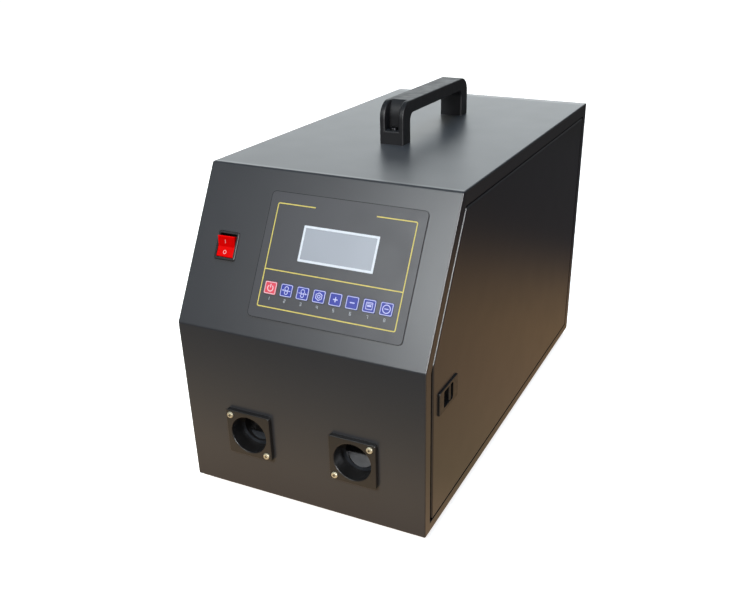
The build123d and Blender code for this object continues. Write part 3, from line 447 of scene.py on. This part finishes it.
def icon(kind, x, s):
    w = 0.75
    if kind == "key_power":
        g = [[arc_band(x, s - 0.3, 3.1, 1.0, 125, 415)], [stroke(x, s + 0.6, x, s + 3.6, 1.0)]]
    elif kind in ("key_forward", "key_retract"):
        g = [ring(x, s + 1.9, 2.0, w), ring(x, s - 2.1, 1.7, w), [stroke(x - 4.4, s + 0.1, x + 4.4, s - 0.3, 0.7)]]
        d = -1 if kind == "key_forward" else 1
        g.append([[(x + d * 4.9, s - 0.1 + (-0.1 * d)), (x + d * 3.2, s + 1.1), (x + d * 3.2, s - 1.3)]])
    elif kind == "key_set":
        hexa = [(x + 4.2 * math.sin(math.radians(60 * i)), s + 4.2 * math.cos(math.radians(60 * i))) for i in range(6)]
        hexb = [(x + 3.3 * math.sin(math.radians(60 * i)), s + 3.3 * math.cos(math.radians(60 * i))) for i in range(6)]
        g = [[hexa, hexb], ring(x, s, 1.5, w)]
    elif kind == "key_plus":
        a, b = 2.5, 0.55
        g = [[[(x - b, s - a), (x + b, s - a), (x + b, s - b), (x + a, s - b), (x + a, s + b), (x + b, s + b),
               (x + b, s + a), (x - b, s + a), (x - b, s + b), (x - a, s + b), (x - a, s - b), (x - b, s - b)]]]
    elif kind == "key_minus":
        g = [[stroke(x - 2.1, s, x + 2.1, s, 1.1)]]
    elif kind == "key_display":
        g = [[rrect(x - 3.7, x + 3.7, s - 3.6, s + 3.6, 0.8, 3), rrect(x - 3.0, x + 3.0, s - 2.9, s + 2.9, 0.5, 3)],
             [rrect(x - 2.2, x + 2.2, s - 0.9, s + 0.9, 0.2, 2)], [stroke(x - 2.2, s + 2.0, x + 2.2, s + 2.0, 0.6)]]
    else:
        g = [ring(x, s, 3.9, 0.9), [stroke(x - 1.8, s, x + 1.8, s, 0.9)]]
    return g


DIGIT = {
    "1": "bc", "2": "abged", "3": "abgcd", "4": "fgbc", "5": "afgcd", "6": "afgedc", "7": "abc", "8": "abcdefg",
}


def digit(ch, x, s, h=2.9, w=1.55, t=0.42):
    """A plain seven-stroke numeral."""
    seg = {"a": (0, h, w, h), "b": (w, h, w, h / 2), "c": (w, h / 2, w, 0), "d": (0, 0, w, 0), "e": (0, h / 2, 0, 0),
           "f": (0, h, 0, h / 2), "g": (0, h / 2, w, h / 2)}
    out = []
    for k in DIGIT[ch]:
        a = seg[k]
        out.append([stroke(x - w / 2 + a[0], s + a[1], x - w / 2 + a[2], s + a[3], t, 3)])
    return out


for i, (name, kx) in enumerate(zip(KEYS, KEY_X)):
    pm = M["pink"] if name == "key_power" else M["lilac"]
    bx0, bx1, by0, by1 = kx - KEY_W / 2 + 0.28, kx + KEY_W / 2 - 0.28, KEY_S - KEY_L / 2 + 0.28, KEY_S + KEY_L / 2 - 0.28
    g = [[rrect(bx0, bx1, by0, by1, 1.4, 5), rrect(bx0 + 0.75, bx1 - 0.75, by0 + 0.75, by1 - 0.75, 0.9, 5)]]
    g += icon(name, kx, KEY_S)
    decal("print_" + name, g, Z0, Z1, pm, name + "_pad")
    decal("print_number_%d" % (i + 1), digit(str(i + 1), kx, 40.4), OV, OV + 0.06, M["label"], "cabinet")

# painted shade: dark crosses on the four port screws, where shadow falls in their cross recesses; and a tilted plate at
# the bottom of each socket, painted as the light reflected there
PORTS = ((-61.7, 74.5), (61.7, 74.5))
n = 0
for (px, pz), sgn in zip(PORTS, (-1, 1)):
    for k in (-1, 1):
        sx, sz = px + sgn * k * 20.6, pz + k * 20.6
        n += 1
        decal("screw_recess_%d" % n, [[[(sx - 1.6, sz - 0.45), (sx - 0.45, sz - 0.45), (sx - 0.45, sz - 1.6), (sx + 0.45, sz - 1.6),
                                        (sx + 0.45, sz - 0.45), (sx + 1.6, sz - 0.45), (sx + 1.6, sz + 0.45), (sx + 0.45, sz + 0.45),
                                        (sx + 0.45, sz + 1.6), (sx - 0.45, sz + 1.6), (sx - 0.45, sz + 0.45), (sx - 1.6, sz + 0.45)]]],
              6.95, 7.04, M["recess"], "cabinet", matrix=M_FRONT)


def patch_plate(name, px, pz, pts, mat):
    """A small tilted plate at the bottom of a socket, whose colour is a painted reflection of light: points are (x, z,
    depth).
    """
    front = [(px + x, y, pz + z) for x, z, y in pts]
    back_ = [(px + x, y + 1.2, pz + z) for x, z, y in pts]
    k = len(pts)
    faces = [list(range(k)), list(range(2 * k - 1, k - 1, -1))]
    faces += [[i, k + i, k + (i + 1) % k, (i + 1) % k] for i in range(k)]
    return add_mesh(name, front + back_, faces, mat, "cabinet")


def segment(r, top, y0, slope, n=22):
    """A circular segment below the line z = top, leaning towards the mouth as it goes down."""
    a0, a1 = math.pi - math.asin(top / r), 2 * math.pi + math.asin(top / r)
    pts = []
    for i in range(n + 1):
        a = a0 + (a1 - a0) * i / n
        x, z = r * math.cos(a), r * math.sin(a)
        pts.append((x, z, y0 + (z - top) * slope))
    return pts


def ledge(name, px, pz, r0, r1, a0, a1, y, mat, n=28):
    """A thin ring sector lying on the step inside a socket, coloured as a painted dim reflection."""
    vs, fs = [], []
    for r, yy in ((r0, y), (r1, y), (r1, y + 0.1), (r0, y + 0.1)):
        for i in range(n + 1):
            a = math.radians(a0 + (a1 - a0) * i / n)
            vs.append((px + r * math.cos(a), yy, pz + r * math.sin(a)))
    m = n + 1
    for k in range(4):
        k2 = (k + 1) % 4
        for i in range(n):
            fs.append([k * m + i, k * m + i + 1, k2 * m + i + 1, k2 * m + i])
    fs += [[0, m, 2 * m, 3 * m], [n, 3 * m + n, 2 * m + n, m + n]]
    return add_mesh(name, vs, fs, mat, "cabinet")


# painted reflections: a light plate in the right socket, a dim one in the left, and dim rings on both sockets' steps
patch_plate("socket_plate_right", 61.7, 74.5, segment(16.9, -4.5, 18.0, 0.35), M["contact_light"])
patch_plate("socket_plate_left", -61.7, 74.5, segment(16.9, -10.0, 18.5, 0.3), M["contact_dark"])
ledge("socket_step_right", 61.7, 74.5, 17.3, 21.15, 178, 322, 13.85, M["contact_dark"])
ledge("socket_step_left", -61.7, 74.5, 17.3, 21.15, 178, 322, 13.85, M["contact_dark"])

# I and O on the rocker, on its two faces
TILT = math.radians(13.0)
M_RK = M_SLOPE @ Matrix.Translation((-100.2, 86.5, -4.0)) @ Matrix.Rotation(TILT, 4, "X")
fa = math.atan2(7.4 - 4.8, 10.7)
for nm, sgn in (("on", 1), ("off", -1)):
    mm = M_RK @ Matrix.Translation((0, sgn * 5.2, 6.1)) @ Matrix.Rotation(sgn * fa, 4, "X")
    if nm == "on":
        g = [[stroke(-1.2, -1.5, -1.2, 1.5, 0.9)]]
    else:
        g = [[[(1.9 * math.cos(2 * math.pi * k / 32) - 0.9, 2.2 * math.sin(2 * math.pi * k / 32) - 0.4) for k in range(32)],
              [(1.15 * math.cos(2 * math.pi * k / 32) - 0.9, 1.45 * math.sin(2 * math.pi * k / 32) - 0.4) for k in range(32)]]]
    decal("rocker_mark_" + nm, g, -0.02, 0.06, M["rocker_print"], "rocker", matrix=mm)

# ---------------------------------------------------------------- studio
def plain(name, verts, faces, mat):
    me = bpy.data.meshes.new(name)
    me.from_pydata(verts, [], faces)
    me.materials.append(mat)
    o = bpy.data.objects.new(name, me)
    COL.objects.link(o)
    return o


def ramp_emission(name, stops, lo, hi, axis="Y", strength=1.0, also=None):
    """Light given off along one axis of the object's own space, as a colour ramp."""
    mt = bpy.data.materials.new(name)
    mt.use_nodes = True
    nt = mt.node_tree
    nt.nodes.clear()
    tc = nt.nodes.new("ShaderNodeTexCoord")
    sep = nt.nodes.new("ShaderNodeSeparateXYZ")
    nt.links.new(tc.outputs["Object"], sep.inputs["Vector"])
    mr = nt.nodes.new("ShaderNodeMapRange")
    mr.inputs["From Min"].default_value = lo
    mr.inputs["From Max"].default_value = hi
    nt.links.new(sep.outputs[axis], mr.inputs["Value"])
    cr = nt.nodes.new("ShaderNodeValToRGB")
    el = cr.color_ramp.elements
    while len(el) < len(stops):
        el.new(0.5)
    for e, (p, c) in zip(el, stops):
        e.position = (p - lo) / (hi - lo)
        e.color = (*c, 1)
    nt.links.new(mr.outputs["Result"], cr.inputs["Fac"])
    em = nt.nodes.new("ShaderNodeEmission")
    em.inputs["Strength"].default_value = strength
    nt.links.new(cr.outputs["Color"], em.inputs["Color"])
    out = nt.nodes.new("ShaderNodeOutputMaterial")
    nt.links.new(em.outputs["Emission"], out.inputs["Surface"])
    return mt


def reflection_only(o):
    o.visible_camera = False
    o.visible_diffuse = False
    o.visible_shadow = False
    o.visible_transmission = False
    o.visible_volume_scatter = False


# the pale floor
R = 14.0
pts = [(R * math.cos(2 * math.pi * i / 96), R * math.sin(2 * math.pi * i / 96), 0) for i in range(96)]
fm = material("studio_floor", lin((226, 226, 226)), rough=0.8, vary=0.01, vary_scale=2.0, bump=0.0, specular=0.2,
              emission=((1, 1, 1, 1), 0.84))
fn = fm.node_tree
ftc = fn.nodes.new("ShaderNodeTexCoord")
fl = fn.nodes.new("ShaderNodeVectorMath")
fl.operation = "LENGTH"
fn.links.new(ftc.outputs["Object"], fl.inputs[0])
fr = fn.nodes.new("ShaderNodeMapRange")
fr.inputs["From Min"].default_value = 1.2
fr.inputs["From Max"].default_value = 4.0
fr.inputs["To Min"].default_value = 0.84
fr.inputs["To Max"].default_value = 1.03
fn.links.new(fl.outputs["Value"], fr.inputs["Value"])
fn.links.new(fr.outputs["Result"], fn.nodes["Principled BSDF"].inputs["Emission Strength"])
floor = plain("studio_floor", pts, [list(range(96))], fm)
floor.visible_glossy = False
floor.visible_diffuse = False

# the same pale tone carried up past the horizon, for low viewing angles
rb = R - 0.05
bp_ = [(rb * math.cos(2 * math.pi * i / 96), rb * math.sin(2 * math.pi * i / 96), z) for z in (-0.01, 9.0) for i in range(96)]
bm = bpy.data.materials.new("studio_backdrop")
bm.use_nodes = True
bn = bm.node_tree
bn.nodes.clear()
be = bn.nodes.new("ShaderNodeEmission")
be.inputs["Color"].default_value = (1, 1, 1, 1)
be.inputs["Strength"].default_value = 1.03
bo = bn.nodes.new("ShaderNodeOutputMaterial")
bn.links.new(be.outputs["Emission"], bo.inputs["Surface"])
back = plain("studio_backdrop", bp_, [[i, (i + 1) % 96, 96 + (i + 1) % 96, 96 + i] for i in range(96)], bm)
back.visible_glossy = False
back.visible_diffuse = False
back.visible_shadow = False
back.visible_transmission = False
back.visible_volume_scatter = False

# what the glossy faces mirror: a warm bench top round the machine and a pale wall behind it
bench = [(-0.605, (0.06, 0.06, 0.065)), (-0.495, (0.56, 0.475, 0.35)), (-0.345, (1.19, 0.875, 0.56)), (-0.265, (0.81, 0.545, 0.33)),
         (-0.15, (0.56, 0.395, 0.225)), (0.075, (0.53, 0.346, 0.2)), (0.26, (0.50, 0.322, 0.176)),
         (0.415, (0.37, 0.245, 0.145)), (0.555, (0.175, 0.128, 0.10)), (0.68, (0.07, 0.065, 0.07)),
         (1.6, (0.066, 0.066, 0.07))]
card = plain("mirrored_bench", [(-0.7, -0.605, 0.001), (0.9, -0.605, 0.001), (0.9, 1.6, 0.001), (-0.7, 1.6, 0.001)],
             [(0, 1, 2, 3)], ramp_emission("mirrored_bench", bench, -0.605, 1.6))
reflection_only(card)
wall = plain("mirrored_wall", [(-4.0, 2.72, 0.0), (0.1, 2.72, 0.0), (0.1, 2.72, 2.2), (-4.0, 2.72, 2.2)], [(0, 1, 2, 3)],
             ramp_emission("mirrored_wall", [(0.0, (0.93, 0.985, 1.0)), (2.2, (0.93, 0.985, 1.0))], 0.0, 2.2, "Z", 1.98))
reflection_only(wall)


def standing_card(name, az, el, dist, w, h, strength, color):
    """A lit card seen only in reflections, facing the machine."""
    a, e = math.radians(az), math.radians(el)
    v = Vector((math.sin(a) * math.cos(e), -math.cos(a) * math.cos(e), math.sin(e)))
    c = Vector((0, 0, 0.2)) + v * dist
    x = Vector((math.cos(a), math.sin(a), 0))
    y = v.cross(x)
    vs = [c + x * sx * w / 2 + y * sy * h / 2 for sx, sy in ((-1, -1), (1, -1), (1, 1), (-1, 1))]
    o = plain(name, [tuple(p) for p in vs], [(0, 1, 2, 3)],
              ramp_emission(name, [(-9.0, color), (9.0, color)], -9.0, 9.0, "Z", strength))
    reflection_only(o)
    return o


standing_card("mirrored_strip", 60, 20, 2.6, 2.4, 1.2, 15.0, (1.0, 1.0, 1.0))
dim = plain("mirrored_wall_dim", [(0.12, 2.72, 0.0), (3.4, 2.72, 0.0), (3.4, 2.72, 2.2), (0.12, 2.72, 2.2)], [(0, 1, 2, 3)],
            ramp_emission("mirrored_wall_dim", [(0.0, (1.0, 1.0, 1.0)), (2.2, (1.0, 1.0, 1.0))], 0.0, 2.2, "Z", 0.16))
reflection_only(dim)

world = bpy.data.worlds.new("studio")
SC.world = world
world.use_nodes = True
bg = world.node_tree.nodes["Background"]
bg.inputs["Color"].default_value = (1.0, 0.97, 0.9, 1)
bg.inputs["Strength"].default_value = 0.045


def area(name, az, el, dist, size, power, color=(1, 1, 1), size_y=None):
    """A soft box seen from the machine at azimuth az (0 in front, + to the right) and elevation el."""
    ld = bpy.data.lights.new(name, "AREA")
    ld.energy = power
    ld.color = color
    ld.shape = "RECTANGLE"
    ld.size = size
    ld.size_y = size_y or size
    o = bpy.data.objects.new(name, ld)
    COL.objects.link(o)
    a, e = math.radians(az), math.radians(el)
    v = Vector((math.sin(a) * math.cos(e), -math.cos(a) * math.cos(e), math.sin(e)))
    o.location = Vector((0, 0, 0.2)) + v * dist
    o.rotation_euler = (-v).to_track_quat("-Z", "Y").to_euler()
    return o


area("soft_front", -10, 35, 2.5, 0.9, 29.0, (0.9, 0.96, 1.0))
area("soft_front_right", 0, 35, 2.5, 0.9, 10.0, (1.0, 0.84, 0.65))
area("soft_front_left", -25, 30, 2.5, 0.9, 3.4)
area("soft_side_right", 50, 30, 2.5, 0.9, 3.0, (0.25, 0.4, 1.0))
area("soft_back_left", -120, 40, 2.5, 0.9, 42.0, (1.0, 0.97, 0.83)).visible_glossy = False
area("soft_over", 0, 89, 2.5, 1.6, 46.0, (0.56, 0.8, 1.0)).visible_glossy = False
